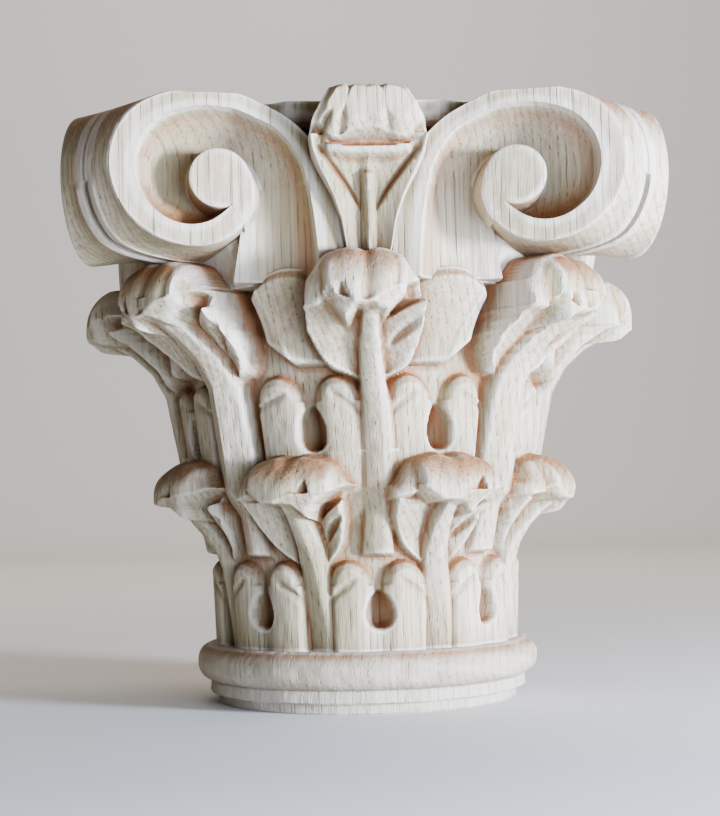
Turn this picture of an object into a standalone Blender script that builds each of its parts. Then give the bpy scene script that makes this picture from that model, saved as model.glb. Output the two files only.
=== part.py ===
"""Carved oak column capital, full round, cut from one block.

Units here are millimetres; MM turns them to metres when a mesh is made.
The origin is at the middle of the underside, +Z is up and the front face looks along -Y.
"""
import math

import bmesh
import bpy
import numpy as np

MM = 0.001

# Overall sizes
TOTAL_HEIGHT = 184.0
CORNER_REACH = 90.0          # from the axis out to a volute's face at its outer edge
FACE_TURN_IN = 16.5          # how much less the same edge's distance from the face's middle line is

# Turned foot: two fillets and a torus
LOW_FILLET_HEIGHT = 3.5
LOW_FILLET_RADIUS = 49.6
HIGH_FILLET_HEIGHT = 4.0
HIGH_FILLET_RADIUS = 52.7
TORUS_HEIGHT = 11.9
TORUS_RADIUS = 57.0
FOOT_SEGMENTS = 48
TORUS_STEPS = 5

# Bell and leaf tiers, heights above the torus
NECK_RADIUS = 46.0
LEAVES_PER_TIER = 8
LOWER_LEAF_HEIGHT = 60.0
UPPER_LEAF_HEIGHT = 59.5
LOWER_TIP_REACH = 26.0       # from the neck's radius out to the leaf's tip
UPPER_TIP_REACH = 47.0
LOWER_CROWN_HALF_WIDTH = 19.5
UPPER_CROWN_HALF_WIDTH = 18.0
STEM_HALF_WIDTH = 3.4
PIPE_HALF_WIDTH = 7.6
PIPE_OFFSET = 9.6            # from the leaf's middle line to the middle of a pipe
PIPE_RAISE = 4.6
EYE_HALF_WIDTH = 3.2
EYE_HALF_HEIGHT = 6.5
EYE_DEPTH = 4.5
LEAF_THICKNESS = 3.5
LEAFLET_WAVE = 1.3           # how far the cuts between the leaflets of a side fan go in and out
CROWN_WAVE = 1.1             # the same for the lobes of the crown
TIP_EDGE = 3.0               # how far the side fans stay behind the crown's edge
STEM_RIDGE = 0.8             # how far the stem's ridge stands out of the leaf
TRUNK_HALF_WIDTH = 4.6       # the upper leaf's stem between the lower leaves
TRUNK_RAISE = 3.2
BELL_FOOT_OVERLAP = 1.0      # how far the bell runs down into the torus
BELL_TOP_OVERLAP = 12.0      # how far the bell runs up into the abacus block, at the least

# Calyx leaves, two on each face between the upper leaves
CALYX_FOOT = 24.0            # above the foot of the upper leaves
CALYX_HEIGHT = 30.0
CALYX_FOOT_REACH = 19.7      # from the neck's radius out
CALYX_TOP_REACH = 36.7
CALYX_BELLY = 2.5            # how far a leaf's middle stands out of its edges
CALYX_GROOVE = 2.2           # depth of the hollow beside its ridge

# Abacus block
WALL_DEPTH = 69.0            # from the axis to the wall behind the volutes and the fleuron
WALL_BOW = 4.0               # how much further out the wall lies at the corners
ABACUS_HEIGHT = 54.0
ABACUS_SIDE_STEPS = 4
ABACUS_FOOT_HALF_SIDE = 36.0
ABACUS_MIDDLE_HALF_SIDE = 49.0
ABACUS_TOP_HALF_SIDE = 58.0
CORNER_OVERLAP = 0.7         # how far two volutes of a corner run past the diagonal into each other

# Volutes, measured on a face from its middle line and from the top
EYE_FROM_MIDDLE = 41.0
EYE_BELOW_TOP = 25.0
FACE_DEPTH_AT_MIDDLE = 75.0
CHANNEL_DEPTH = 12.5
COIL_RADIUS = 8.6
EYE_CROWN = 0.6
VOLUTE_DROP = 0.2            # below the top of the abacus
STALK_OUTER_X = 6.6          # the stalk's edge beside the fleuron
STALK_INNER_X = 15.0
STALK_FOOT_OVERLAP = 1.0     # how far a stalk's foot stays above the block's foot
STALK_FLARE = 3.2            # how far the stalk leans outwards at the height of the eye
STALK_FLOOR = 12.0           # width of the hollow beside the stalk
CHANNEL_MIDDLE = 0.75        # share of the channel's depth in the middle of its slope
BAND_LEAST_WIDTH = 5.0
COIL_OVERLAP = 2.0           # how far the channel's floor runs under the coil
COIL_BACK = 4.0              # how far the coil runs into the block
SLIT_WIDTH = 5.0
SLIT_DEPTH = 6.0
SLIT_TOP_BELOW_EYE = 1.0
SLIT_FOOT_BELOW_BLOCK = 4.0

# Fleuron
FLEURON_REACH = 93.0
FLEURON_HALF_WIDTH = 18.0
FLEURON_DROP = 0.3           # below the top of the abacus
FLEURON_FOOT_RISE = 2.0      # above the foot of the abacus
FLEURON_BACK = 12.0          # how far it runs into the block

BASE_TOP = LOW_FILLET_HEIGHT + HIGH_FILLET_HEIGHT + TORUS_HEIGHT
LOWER_TOP = BASE_TOP + LOWER_LEAF_HEIGHT
UPPER_TOP = LOWER_TOP + UPPER_LEAF_HEIGHT
LEAF_STEP = 360.0 / LEAVES_PER_TIER
CORNER_X = CORNER_REACH - FACE_TURN_IN
ABACUS_FOOT = TOTAL_HEIGHT - ABACUS_HEIGHT

# Shares of a leaf's height: top of the pipes, lower edge of the crown, middle of the eye
LOWER_MARKS = (0.44, 0.77, 0.22)
UPPER_MARKS = (0.41, 0.72, 0.16)
# Middle line of a leaf: share of its height, share of its reach from the neck to the tip
LOWER_LINE = ((0.0, 0.10), (0.42, 0.16), (0.52, 0.22), (0.61, 0.36), (0.74, 0.58), (0.79, 1.0),
              (0.88, 0.90), (1.0, 0.58))
UPPER_LINE = ((0.0, 0.29), (0.37, 0.39), (0.53, 0.53), (0.63, 0.68), (0.70, 0.92), (0.76, 1.0),
              (0.88, 0.92), (1.0, 0.70))
# The bell between the leaves: share of the height of both tiers, share of the upper leaf's reach
GROUND_LINE = ((0.0, 0.0), (0.22, 0.02), (0.38, 0.09), (0.50, 0.19), (0.71, 0.28), (0.87, 0.36), (1.0, 0.50))

# A calyx leaf's middle line and half width in degrees from the middle of its face, by its share of height
CALYX_MIDDLE = ((0.0, 14.5), (1.0, 24.5))
CALYX_HALF_WIDTH = ((0.0, 5.5), (1.0, 9.0))

# Angles of the relief's columns within half a leaf's step, as shares of that half
COLUMN_SHARES = (0.0, 0.14, 0.28, 0.5, 0.72, 0.86)
# Heights of the relief's rows in each tier, as shares of a leaf's height
ROW_SHARES = (0.0, 0.14, 0.28, 0.38, 0.45, 0.54, 0.63, 0.71, 0.77, 0.83, 0.91)


def blend(low, high, value):
    """Smooth step from 0 at low to 1 at high."""
    share = np.clip((value - low) / (high - low), 0.0, 1.0)
    return share * share * (3.0 - 2.0 * share)


def along(line, share):
    """Value of a line of (position, value) pairs."""
    return np.interp(share, [point[0] for point in line], [point[1] for point in line])


def turn_to_nearest(angle, first, step):
    """Signed angle from the nearest of the places first, first + step and so on."""
    return (angle - first + step / 2.0) % step - step / 2.0


def leaf_radius(angle, share, height, line, marks, reach, half_width, ground):
    """Radius of one tier's leaves of a height; angle is measured from a leaf's middle line, in degrees."""
    pipe_top, crown_edge, eye_middle = marks
    middle = NECK_RADIUS + reach * along(line, share)
    across = np.abs(np.radians(angle)) * np.maximum(ground, middle * 0.5 + ground * 0.5)

    stem_width = STEM_HALF_WIDTH * (1.0 + 0.35 * (1.0 - share))
    stem = middle + STEM_RIDGE - 0.5 * STEM_RIDGE * (across / stem_width) ** 2
    stem = np.where((across < stem_width) & (share < crown_edge), stem, 0.0)

    pipe_across = (across - PIPE_OFFSET) / PIPE_HALF_WIDTH
    pipe_up = np.clip((share - pipe_top) * height / PIPE_HALF_WIDTH + 1.0, 0.0, None)
    pipe_round = 1.0 - pipe_across ** 2 - pipe_up ** 2
    pipe = ground + PIPE_RAISE * np.sqrt(np.clip(pipe_round, 0.0, 1.0))
    pipe = np.where((pipe_round > 0.0) & (share < pipe_top), pipe, 0.0)

    side = across / half_width
    from_stem = np.clip((across - STEM_HALF_WIDTH) / (half_width - STEM_HALF_WIDTH), 0.0, 1.0)
    fan_foot = pipe_top + (crown_edge - pipe_top) * from_stem
    fan_share = np.clip((share - fan_foot) / np.maximum(crown_edge - fan_foot, 0.02), 0.0, 1.0)
    tip = NECK_RADIUS + reach * (1.0 - 0.16 * side ** 2)
    wave = 1.6 * (share - pipe_top) / (crown_edge - pipe_top) - 1.1 * side
    leaflet = LEAFLET_WAVE * np.cos(2.0 * math.pi * wave)
    fan_rise = tip - TIP_EDGE - ground - LEAF_THICKNESS
    fan = ground + LEAF_THICKNESS + fan_rise * fan_share ** 1.7 + leaflet
    fan = np.where((share >= fan_foot) & (share <= crown_edge) & (side < 1.0), fan, 0.0)

    crown_top = 1.0 - 0.12 * side ** 2
    crown_share = np.clip((share - crown_edge) / (crown_top - crown_edge), 0.0, 1.0)
    top_radius = NECK_RADIUS + reach * line[-1][1]
    bumps = CROWN_WAVE * np.cos(3.0 * math.pi * side)
    crown = top_radius + (tip - top_radius) * np.sqrt(1.0 - crown_share ** 2.2) + bumps * (1.0 - crown_share)
    crown = np.where((share > crown_edge) & (share <= crown_top) & (side < 1.0), crown, 0.0)

    radius = np.maximum.reduce([ground, stem, pipe, fan, crown])
    rim = np.radians(LEAF_STEP / 2.0 - np.abs(angle)) * ground
    eye_up = (share - eye_middle) * height / EYE_HALF_HEIGHT
    eye = np.clip(1.0 - (rim / EYE_HALF_WIDTH) ** 2 - eye_up ** 2, 0.0, 1.0)
    return radius - EYE_DEPTH * np.sqrt(eye)


def calyx_radius(angle, height, ground):
    """Radius of the two calyx leaves of each face; angle is measured from the face's middle."""
    share = (height - LOWER_TOP - CALYX_FOOT) / CALYX_HEIGHT
    rise = np.clip(share, 0.0, 1.0)
    middle = along(CALYX_MIDDLE, rise)
    half = along(CALYX_HALF_WIDTH, rise)
    side = (np.abs(angle) - middle) / half
    lean = CALYX_FOOT_REACH + (CALYX_TOP_REACH - CALYX_FOOT_REACH) * rise ** 1.4
    groove = CALYX_GROOVE * np.clip(-side, 0.0, 1.0) * np.clip(1.0 + side, 0.0, 1.0) * 4.0
    radius = NECK_RADIUS + lean - CALYX_BELLY * np.abs(side) ** 2 - groove
    return np.where((np.abs(side) < 1.0) & (share > 0.0) & (share < 1.0), radius, 0.0)


def relief_radius(angle, height):
    """Radius of the carved bell at an angle in degrees and a height."""
    ground = NECK_RADIUS + UPPER_TIP_REACH * along(GROUND_LINE, (height - BASE_TOP) / (UPPER_TOP - BASE_TOP))
    to_lower = turn_to_nearest(angle, LEAF_STEP / 2.0, LEAF_STEP)
    to_upper = turn_to_nearest(angle, 0.0, LEAF_STEP)
    to_face = turn_to_nearest(angle, 0.0, 90.0)
    lower_share = (height - BASE_TOP) / LOWER_LEAF_HEIGHT
    upper_share = (height - LOWER_TOP) / UPPER_LEAF_HEIGHT
    lower = leaf_radius(to_lower, lower_share, LOWER_LEAF_HEIGHT, LOWER_LINE, LOWER_MARKS, LOWER_TIP_REACH,
                        LOWER_CROWN_HALF_WIDTH, ground)
    upper = leaf_radius(to_upper, upper_share, UPPER_LEAF_HEIGHT, UPPER_LINE, UPPER_MARKS, UPPER_TIP_REACH,
                        UPPER_CROWN_HALF_WIDTH, ground)
    across = np.abs(np.radians(to_upper)) * ground
    trunk = np.where((across < TRUNK_HALF_WIDTH) & (lower_share > 0.35), ground + TRUNK_RAISE, 0.0)
    radius = np.where(lower_share <= 1.0, lower, upper)
    radius = np.maximum(radius, trunk)
    return np.maximum(radius, calyx_radius(to_face, height, ground))


def new_mesh_object(name, build):
    """Object named name, whose mesh the function build makes in a bmesh, in millimetres."""
    shape = bmesh.new()
    build(shape)
    bmesh.ops.remove_doubles(shape, verts=shape.verts, dist=0.001)
    bmesh.ops.triangulate(shape, faces=shape.faces)
    bmesh.ops.recalc_face_normals(shape, faces=shape.faces)
    bmesh.ops.scale(shape, vec=(MM, MM, MM), verts=shape.verts)
    mesh = bpy.data.meshes.new(name)
    shape.to_mesh(mesh)
    shape.free()
    piece = bpy.data.objects.new(name, mesh)
    bpy.context.scene.collection.objects.link(piece)
    return piece


def skin(shape, loops):
    """Join loops of points, each as long as the next, and cap the two ends."""
    rings = [[shape.verts.new(point) for point in loop] for loop in loops]
    count = len(rings[0])
    for lower, upper in zip(rings, rings[1:]):
        for step in range(count):
            following = (step + 1) % count
            shape.faces.new((lower[step], lower[following], upper[following], upper[step]))
    shape.faces.new(list(reversed(rings[0])))
    shape.faces.new(rings[-1])


def build_foot(shape):
    """Two fillets and the torus, turned."""
    middle = BASE_TOP - TORUS_HEIGHT / 2.0
    swell = TORUS_HEIGHT / 2.0
    outline = [(0.0, 0.0), (LOW_FILLET_RADIUS, 0.0), (LOW_FILLET_RADIUS, LOW_FILLET_HEIGHT),
               (HIGH_FILLET_RADIUS, LOW_FILLET_HEIGHT),
               (HIGH_FILLET_RADIUS, LOW_FILLET_HEIGHT + HIGH_FILLET_HEIGHT)]
    for step in range(TORUS_STEPS + 1):
        turn = math.radians(-75.0 + 150.0 * step / TORUS_STEPS)
        outline.append((TORUS_RADIUS - swell + swell * math.cos(turn), middle + swell * math.sin(turn)))
    outline.append((NECK_RADIUS + 1.0, BASE_TOP))
    outline.append((NECK_RADIUS - 6.0, BASE_TOP + 4.0))
    outline.append((0.0, BASE_TOP + 4.0))
    points = [shape.verts.new((radius, 0.0, height)) for radius, height in outline]
    edges = [shape.edges.new(pair) for pair in zip(points, points[1:])]
    bmesh.ops.spin(shape, geom=points + edges, axis=(0.0, 0.0, 1.0), cent=(0.0, 0.0, 0.0),
                   angle=2.0 * math.pi, steps=FOOT_SEGMENTS, use_merge=True)


def relief_angles():
    """Angles of the relief's columns, mirrored about every leaf's middle line."""
    angles = set()
    for leaf in range(LEAVES_PER_TIER):
        for share in COLUMN_SHARES:
            for side in (-1.0, 1.0):
                angle = LEAF_STEP * leaf + side * share * LEAF_STEP / 2.0
                angles.add(round(angle % 360.0, 6))
        angles.add(round((LEAF_STEP * (leaf + 0.5)) % 360.0, 6))
    return sorted(angles)


def build_relief(shape):
    """The bell with both tiers of leaves, as one closed skin."""
    heights = [BASE_TOP - BELL_FOOT_OVERLAP]
    heights += [BASE_TOP + LOWER_LEAF_HEIGHT * share for share in ROW_SHARES]
    heights += [LOWER_TOP + UPPER_LEAF_HEIGHT * share for share in ROW_SHARES]
    heights += [UPPER_TOP, max(UPPER_TOP + 2.0, ABACUS_FOOT + BELL_TOP_OVERLAP)]
    angles = np.array(relief_angles())
    loops = []
    for height in heights:
        radii = relief_radius(angles, np.full_like(angles, height))
        turns = np.radians(angles - 90.0)
        loops.append([(radius * math.cos(turn), radius * math.sin(turn), height)
                      for radius, turn in zip(radii, turns)])
    skin(shape, loops)


def face_depth(across):
    """Distance from the axis to the volutes' flat face."""
    return FACE_DEPTH_AT_MIDDLE + (CORNER_REACH - FACE_DEPTH_AT_MIDDLE) * (across / CORNER_X)


def abacus_outline(half_side, height):
    """Plan of the block at a height: hollow sides, half_side long to each cut corner."""
    outline = []
    for quarter in range(4):
        turn = math.radians(90.0 * quarter)
        for step in range(ABACUS_SIDE_STEPS + 1):
            across = half_side * (2.0 * step / ABACUS_SIDE_STEPS - 1.0)
            depth = WALL_DEPTH + WALL_BOW * (across / WALL_DEPTH) ** 2
            outline.append((across * math.cos(turn) + depth * math.sin(turn),
                            across * math.sin(turn) - depth * math.cos(turn), height))
    return outline


def build_abacus(shape):
    """The block behind the volutes, narrower at its corners below them."""
    middle = TOTAL_HEIGHT - EYE_BELOW_TOP
    skin(shape, [abacus_outline(ABACUS_FOOT_HALF_SIDE, ABACUS_FOOT),
                 abacus_outline(ABACUS_MIDDLE_HALF_SIDE, middle),
                 abacus_outline(ABACUS_TOP_HALF_SIDE, TOTAL_HEIGHT)])


# A volute's edges around its eye: angle in degrees, distance from the eye
OUTER_EDGE = ((0.0, 31.2), (30.0, 26.8), (60.0, 24.4), (90.0, 26.0), (112.0, 28.2), (145.0, 33.5),
              (171.0, 33.8), (200.0, 30.6), (245.0, 22.8), (285.0, 16.2), (320.0, 12.0), (349.0, 9.6),
              (380.0, COIL_RADIUS))
INNER_EDGE = ((0.0, 23.4), (34.0, 21.2), (84.0, 20.4), (111.0, 22.5), (141.0, 26.2), (163.0, 26.8),
              (194.0, 24.6), (230.0, 18.6), (254.0, 13.6), (280.0, 8.4))


def on_face(across, height, depth):
    """Point on the front face's left half: across is counted outwards from the middle line."""
    return (-across, -depth, height)


def back_of(across, height, depth):
    """Point where the volute's rim, going back from a point on its face, meets the corner's diagonal."""
    splay = float(blend(EYE_FROM_MIDDLE, CORNER_X - 8.0, across))
    run = (depth - across) / (1.0 + splay) + CORNER_OVERLAP
    return (-(across + splay * run), -(depth - run), height)


def volute_band(shape):
    """The band from the stalk's foot up, over the top and round to the coil, hollowed inside."""
    eye_height = TOTAL_HEIGHT - EYE_BELOW_TOP
    sections = []
    stalk_foot = ABACUS_FOOT + STALK_FOOT_OVERLAP
    for share in (0.0, 0.45):
        height = stalk_foot + (eye_height - stalk_foot) * share
        flare = STALK_FLARE * share ** 2
        outer = STALK_OUTER_X + flare
        inner = STALK_INNER_X + flare
        sections.append(((outer, height), (inner, height), (inner + STALK_FLOOR, height)))
    for angle in (0, 22, 44, 66, 90, 112, 135, 158, 180, 203, 226, 249, 272, 292):
        turn = math.radians(angle)
        outer = float(along(OUTER_EDGE, angle))
        inner = min(float(along(INNER_EDGE, angle)), outer - BAND_LEAST_WIDTH)
        coil = float(along(OUTER_EDGE, angle + 360.0)) - COIL_OVERLAP
        row = []
        for reach in (outer, inner, min(coil, inner - 1.0)):
            across = EYE_FROM_MIDDLE - reach * math.cos(turn)
            height = min(eye_height + reach * math.sin(turn), TOTAL_HEIGHT - VOLUTE_DROP)
            row.append((across, height))
        sections.append(tuple(row))
    loops = []
    for outer, inner, floor in sections:
        hollow = ((inner[0] * 0.6 + floor[0] * 0.4), (inner[1] * 0.6 + floor[1] * 0.4))
        loops.append([
            back_of(outer[0], outer[1], face_depth(outer[0])),
            on_face(outer[0], outer[1], face_depth(outer[0])),
            on_face(inner[0], inner[1], face_depth(inner[0])),
            on_face(hollow[0], hollow[1], face_depth(inner[0]) - CHANNEL_DEPTH * CHANNEL_MIDDLE),
            on_face(floor[0], floor[1], face_depth(inner[0]) - CHANNEL_DEPTH),
            back_of(floor[0], floor[1], face_depth(floor[0])),
        ])
    skin(shape, loops)


def volute_coil(shape):
    """The drum with the eye, inside the band."""
    eye_height = TOTAL_HEIGHT - EYE_BELOW_TOP
    rim = []
    for angle in range(292, 652, 24):
        turn = math.radians(angle)
        reach = float(along(OUTER_EDGE, angle))
        rim.append((EYE_FROM_MIDDLE - reach * math.cos(turn), eye_height + reach * math.sin(turn)))
    front = [on_face(x, height, face_depth(x) + EYE_CROWN) for x, height in rim]
    back = [on_face(x, height, min(WALL_DEPTH, x) - COIL_BACK) for x, height in rim]
    skin(shape, [back, front])


def build_fleuron(shape):
    """The leaf in the middle of a face: narrow foot, two spreading blades and a bent-over top."""
    foot = ABACUS_FOOT + FLEURON_FOOT_RISE
    rise = TOTAL_HEIGHT - FLEURON_DROP - foot
    # Rows: share of the fleuron's height, share of its half width, share of its reach beyond the wall
    rows = ((0.0, 0.34, 0.35), (0.22, 0.38, 0.36), (0.42, 0.55, 0.45), (0.58, 0.78, 0.62),
            (0.70, 0.96, 0.80), (0.80, 1.0, 0.92), (0.93, 0.92, 1.0), (1.0, 0.66, 0.86))
    across = ((-1.0, -0.30), (-0.62, 0.0), (-0.24, -0.14), (0.0, 0.0), (0.24, -0.14), (0.62, 0.0),
              (1.0, -0.30))
    loops = []
    for share, width, reach in rows:
        height = foot + rise * share
        half = FLEURON_HALF_WIDTH * width
        depth = WALL_DEPTH + (FLEURON_REACH - WALL_DEPTH) * reach
        bow = (FLEURON_REACH - WALL_DEPTH) * reach
        front = [(half * x, -(depth + bow * sink), height) for x, sink in across]
        back = WALL_DEPTH - FLEURON_BACK
        loops.append([(half, -back, height)] + list(reversed(front)) + [(-half, -back, height)])
    skin(shape, loops)


def build_slit(shape):
    """Wedge that opens the V slit between two volutes, on the diagonal of a corner."""
    top = TOTAL_HEIGHT - EYE_BELOW_TOP - SLIT_TOP_BELOW_EYE
    reach = (CORNER_REACH + CORNER_X) / math.sqrt(2.0)
    foot = ABACUS_FOOT - SLIT_FOOT_BELOW_BLOCK
    half = SLIT_WIDTH / 2.0
    outer = reach + 4.0
    turn = math.radians(225.0)
    loops = []
    for height, inner in ((foot, reach - 5.0 * SLIT_DEPTH), (top, reach - SLIT_DEPTH)):
        loop = []
        for out, side in ((inner, 0.0), (outer, -half), (outer, half)):
            loop.append((out * math.cos(turn) - side * math.sin(turn),
                         out * math.sin(turn) + side * math.cos(turn), height))
        loops.append(loop)
    skin(shape, loops)


def copies_around(piece, count, mirrored):
    """Copies of a piece turned round the axis, and mirrored ones where a face has a pair."""
    copies = []
    for quarter in range(count):
        for flip in ((1.0, -1.0) if mirrored else (1.0,)):
            mesh = piece.data.copy()
            shape = bmesh.new()
            shape.from_mesh(mesh)
            bmesh.ops.scale(shape, vec=(flip, 1.0, 1.0), verts=shape.verts)
            turn = math.radians(360.0 / count * quarter)
            for vert in shape.verts:
                x, y = vert.co.x, vert.co.y
                vert.co.x = x * math.cos(turn) - y * math.sin(turn)
                vert.co.y = x * math.sin(turn) + y * math.cos(turn)
            bmesh.ops.recalc_face_normals(shape, faces=shape.faces)
            shape.to_mesh(mesh)
            shape.free()
            copy = bpy.data.objects.new(piece.name + "_copy", mesh)
            bpy.context.scene.collection.objects.link(copy)
            copies.append(copy)
    bpy.data.objects.remove(piece)
    return copies


def combine(target, pieces, operation):
    """Join pieces to the target, or cut them from it, and remove them."""
    for piece in pieces:
        cut = target.modifiers.new("combine", 'BOOLEAN')
        cut.operation = operation
        cut.solver = 'EXACT'
        cut.object = piece
        depsgraph = bpy.context.evaluated_depsgraph_get()
        result = bpy.data.meshes.new_from_object(target.evaluated_get(depsgraph))
        target.modifiers.clear()
        target.data = result
        bpy.data.objects.remove(piece)


def oak_material():
    """Raw oak, cut with chisels and left without a finish."""
    material = bpy.data.materials.new("raw_oak")
    material.use_nodes = True
    shader = material.node_tree.nodes["Principled BSDF"]
    shader.inputs["Base Color"].default_value = (0.52, 0.38, 0.25, 1.0)
    shader.inputs["Roughness"].default_value = 0.78
    shader.inputs["Metallic"].default_value = 0.0
    return material


def build_capital():
    """The whole capital, as one solid."""
    capital = new_mesh_object("carved_capital", build_relief)
    combine(capital, [new_mesh_object("foot", build_foot)], 'UNION')
    combine(capital, [new_mesh_object("abacus", build_abacus)], 'UNION')
    combine(capital, copies_around(new_mesh_object("band", volute_band), 4, True), 'UNION')
    combine(capital, copies_around(new_mesh_object("coil", volute_coil), 4, True), 'UNION')
    combine(capital, copies_around(new_mesh_object("fleuron", build_fleuron), 4, False), 'UNION')
    combine(capital, copies_around(new_mesh_object("slit", build_slit), 4, False), 'DIFFERENCE')
    capital.data.materials.clear()
    capital.data.materials.append(oak_material())
    capital.data.shade_smooth()
    capital.data.set_sharp_from_angle(angle=math.radians(28.0))
    return capital


for leftover in list(bpy.data.objects):
    bpy.data.objects.remove(leftover)
build_capital()
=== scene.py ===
import math
from types import SimpleNamespace

import bmesh
import bpy
import numpy as np
from mathutils import Matrix


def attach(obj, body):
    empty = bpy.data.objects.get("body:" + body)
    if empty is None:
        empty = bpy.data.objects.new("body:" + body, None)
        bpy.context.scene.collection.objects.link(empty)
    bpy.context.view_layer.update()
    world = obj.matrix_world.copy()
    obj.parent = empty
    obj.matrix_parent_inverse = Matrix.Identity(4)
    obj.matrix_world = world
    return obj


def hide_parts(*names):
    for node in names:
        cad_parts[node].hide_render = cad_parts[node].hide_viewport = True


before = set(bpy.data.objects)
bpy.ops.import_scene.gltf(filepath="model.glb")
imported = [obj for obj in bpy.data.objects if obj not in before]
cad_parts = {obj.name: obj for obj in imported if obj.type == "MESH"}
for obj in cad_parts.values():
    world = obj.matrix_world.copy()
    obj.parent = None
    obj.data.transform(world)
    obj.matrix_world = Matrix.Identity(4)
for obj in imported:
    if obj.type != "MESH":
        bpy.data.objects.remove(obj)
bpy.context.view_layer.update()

# Sizes are millimetres, and MM turns them to metres in the finished meshes.
MM = 0.001
NODE = "carved_capital"

# The whole capital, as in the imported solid
TOTAL_HEIGHT = 184.0
CORNER_REACH = 90.0
CORNER_X = 73.5
NECK_RADIUS = 46.0
LEAF_STEP = 45.0
LEAF_COUNT = 8
FACE_STEP = 90.0
FACE_COUNT = 4

# Turned foot
LOW_FILLET = (49.6, 3.5)
HIGH_FILLET = (52.7, 7.5)
TORUS_RADIUS = 57.0
BASE_TOP = 19.4
FOOT_STEPS = 256

# Abacus block and volutes
WALL_DEPTH = 69.0
WALL_BOW = 4.0
ABACUS_FOOT = 130.0
EYE_FROM_MIDDLE = 43.0
EYE_HEIGHT = 159.0
FACE_DEPTH_AT_MIDDLE = 75.0
CHANNEL_DEPTH = 13.0
COIL_RADIUS = 8.6
STALK_OUTER_X = 6.6
STALK_INNER_X = 14.6
FLOOR_END_AT_FOOT = 40.0   # from the middle to the end of the channel's floor at its foot
CORNER_OVERLAP = 0.5
SLIT_DEPTH = 5.5
SLIT_TOP = 158.0
LIP_END = 4.4              # width of the lip between the slit and the rim

# Fleuron
FLEURON_REACH = 93.0
FLEURON_FOOT = 132.0
FLEURON_TOP = 183.7

# Grids of the carved tiers
TIER_COLUMNS = 640
LOWER_ROWS = 148
UPPER_ROWS = 150
EDGE_DRAFT = 0.9           # width of the slope at the edge of a leaf
UPPER_LEAN = 2.3           # degrees that the leaves of a tier lean over
LOWER_LEAN = 2.6
SEAM_DRAFT = 0.2           # how a tier slopes inwards past its neighbour, straight and curved
SEAM_CURVE = 0.03

# Shading, and the wood's growth rings in metres
SHARP_ANGLE = 38.0
HOLLOW_ROUNDS = 14
PITH_PLACE = (-0.260, 0.045, 0.0)
RING_SPACING = 0.0021


def colour(code):
    """Linear RGBA of an sRGB hex colour."""
    parts = [int(code[place:place + 2], 16) / 255.0 for place in (1, 3, 5)]
    linear = [part / 12.92 if part <= 0.04045 else ((part + 0.055) / 1.055) ** 2.4 for part in parts]
    return (*linear, 1.0)


def blend(low, high, value):
    """Smooth step from 0 at low to 1 at high."""
    share = np.clip((value - low) / (high - low), 0.0, 1.0)
    return share * share * (3.0 - 2.0 * share)


def along(line, share):
    """Value of a line of (position, value) pairs."""
    return np.interp(share, [point[0] for point in line], [point[1] for point in line])


def softly_along(line, share, reach):
    """The same line with its corners rounded over the given reach."""
    steps = (-1.0, -0.5, 0.0, 0.5, 1.0)
    return sum(along(line, share + reach * step) for step in steps) / len(steps)


def hump(value, middle, half_width):
    """Smooth hump of height 1 around a middle."""
    return np.exp(-((value - middle) / half_width) ** 2)


def turn_to_nearest(angle, first, step):
    """Signed angle from the nearest of the places first, first + step and so on."""
    return (angle - first + step / 2.0) % step - step / 2.0


def hand_offset(number, seed):
    """A carver's small slip, between -1 and 1, the same on every run."""
    return np.sin(number * 12.9898 + seed * 78.233) * np.cos(number * 4.1414 + seed * 3.7)


def new_piece(name, shape):
    """Object that holds the shape and rides with the capital."""
    mesh = bpy.data.meshes.new(name)
    shape.to_mesh(mesh)
    shape.free()
    piece = bpy.data.objects.new(name, mesh)
    bpy.context.scene.collection.objects.link(piece)
    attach(piece, "root")
    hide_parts(NODE)
    return piece


def get_places(mesh):
    """Places of a mesh's vertices as rows of x, y, z."""
    flat = np.empty(len(mesh.vertices) * 3)
    mesh.vertices.foreach_get("co", flat)
    return flat.reshape(-1, 3)


def set_places(mesh, places):
    """Move a mesh's vertices to new places."""
    mesh.vertices.foreach_set("co", np.ascontiguousarray(places, dtype=np.float64).ravel())
    mesh.update()


def rubbed_smooth(mesh, places, rounds):
    """Places after the surface is rubbed smooth, each vertex moved towards its neighbours."""
    count = len(places)
    ends = np.empty(len(mesh.edges) * 2, dtype=np.int64)
    mesh.edges.foreach_get("vertices", ends)
    first, second = ends.reshape(-1, 2).T
    degree = np.maximum(np.bincount(ends, minlength=count), 1)
    smooth = places.copy()
    for _ in range(rounds):
        for axis in range(3):
            column = smooth[:, axis]
            total = np.bincount(first, column[second], count) + np.bincount(second, column[first], count)
            smooth[:, axis] = 0.5 * column + 0.5 * total / degree
    return smooth


def add_hollow(piece):
    """Store how far each vertex lies in a hollow (+) or on an edge (-), in millimetres."""
    mesh = piece.data
    places = get_places(mesh)
    normals = np.empty(len(mesh.vertices) * 3, dtype=np.float32)
    mesh.vertex_normals.foreach_get("vector", normals)
    moved = rubbed_smooth(mesh, places, HOLLOW_ROUNDS) - places
    shift = (moved * normals.reshape(-1, 3)).sum(axis=1) / MM
    attribute = mesh.attributes.new("hollow", 'FLOAT', 'POINT')
    attribute.data.foreach_set("value", np.ascontiguousarray(shift, dtype=np.float32))


def finish_piece(piece, material):
    """Normals out, metres, shading and material."""
    shape = bmesh.new()
    shape.from_mesh(piece.data)
    bmesh.ops.recalc_face_normals(shape, faces=shape.faces)
    bmesh.ops.scale(shape, vec=(MM, MM, MM), verts=shape.verts)
    shape.to_mesh(piece.data)
    shape.free()
    add_hollow(piece)
    piece.data.shade_smooth()
    piece.data.set_sharp_from_angle(angle=math.radians(SHARP_ANGLE))
    piece.data.materials.append(material)


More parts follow.
